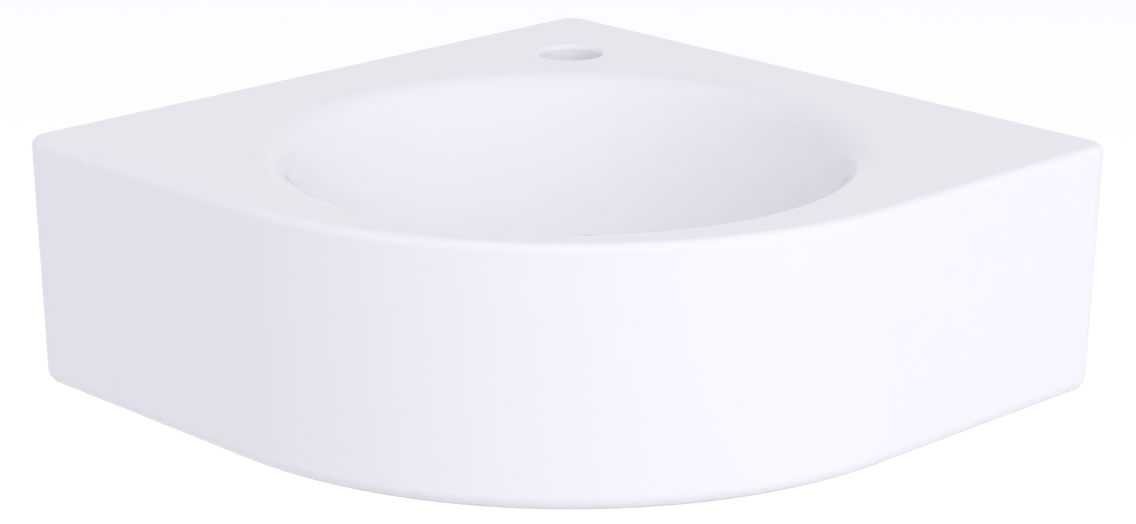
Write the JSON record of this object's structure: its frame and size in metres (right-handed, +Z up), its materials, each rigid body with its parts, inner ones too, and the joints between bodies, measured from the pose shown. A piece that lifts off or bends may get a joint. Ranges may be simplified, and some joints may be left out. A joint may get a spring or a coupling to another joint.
{
  "type": "corner basin",
  "caption": "Wall-hung corner hand basin: square back, one large front round, round bowl, tap hole, press-press waste and wall fixings.",
  "frame": {"origin": "corner of the room at deck height, where the two wall faces and the deck's plane meet", "axes": "+Z up out of the deck, the round front points along -Y, the walls run from the origin along (+X, -Y) and (-X, -Y)"},
  "size_m": [0.556, 0.4656, 0.176],
  "materials": {
    "china": "high-gloss white glaze",
    "chrome": "polished chrome plate",
    "brass": "turned, unplated",
    "rubber": "matte black moulded rubber",
    "nylon": "natural white nylon",
    "steel": "drawn stainless wire",
    "zinc_steel": "bright zinc plate"
  },
  "bodies": {
    "basin": {"basin_body": "china", "waste_body": "chrome", "flange_seal": "rubber", "tail_seal": "rubber", "slip_washer": "nylon", "backnut": "brass", "cartridge_housing": "brass", "cartridge_base": "nylon", "cartridge_spring": "steel", "latch_pin": "steel", "hanger_studs": "zinc_steel", "stud_sleeves": "nylon", "stud_washers": "zinc_steel", "stud_nuts": "zinc_steel", "nut_caps": "nylon"},
    "plug": {"waste_cap": "chrome", "cap_seal": "rubber", "cap_spindle": "brass", "cartridge_plunger": "brass"}
  },
  "joints": [
    {"name": "cap_press", "type": "slide", "parent": "basin", "child": "plug", "axis": [0, 0, 1], "range_m": [-0.008, 0], "stiffness_N_per_m": 700, "springref_m": 0.006, "deforming": ["cartridge_spring"]}
  ]
}
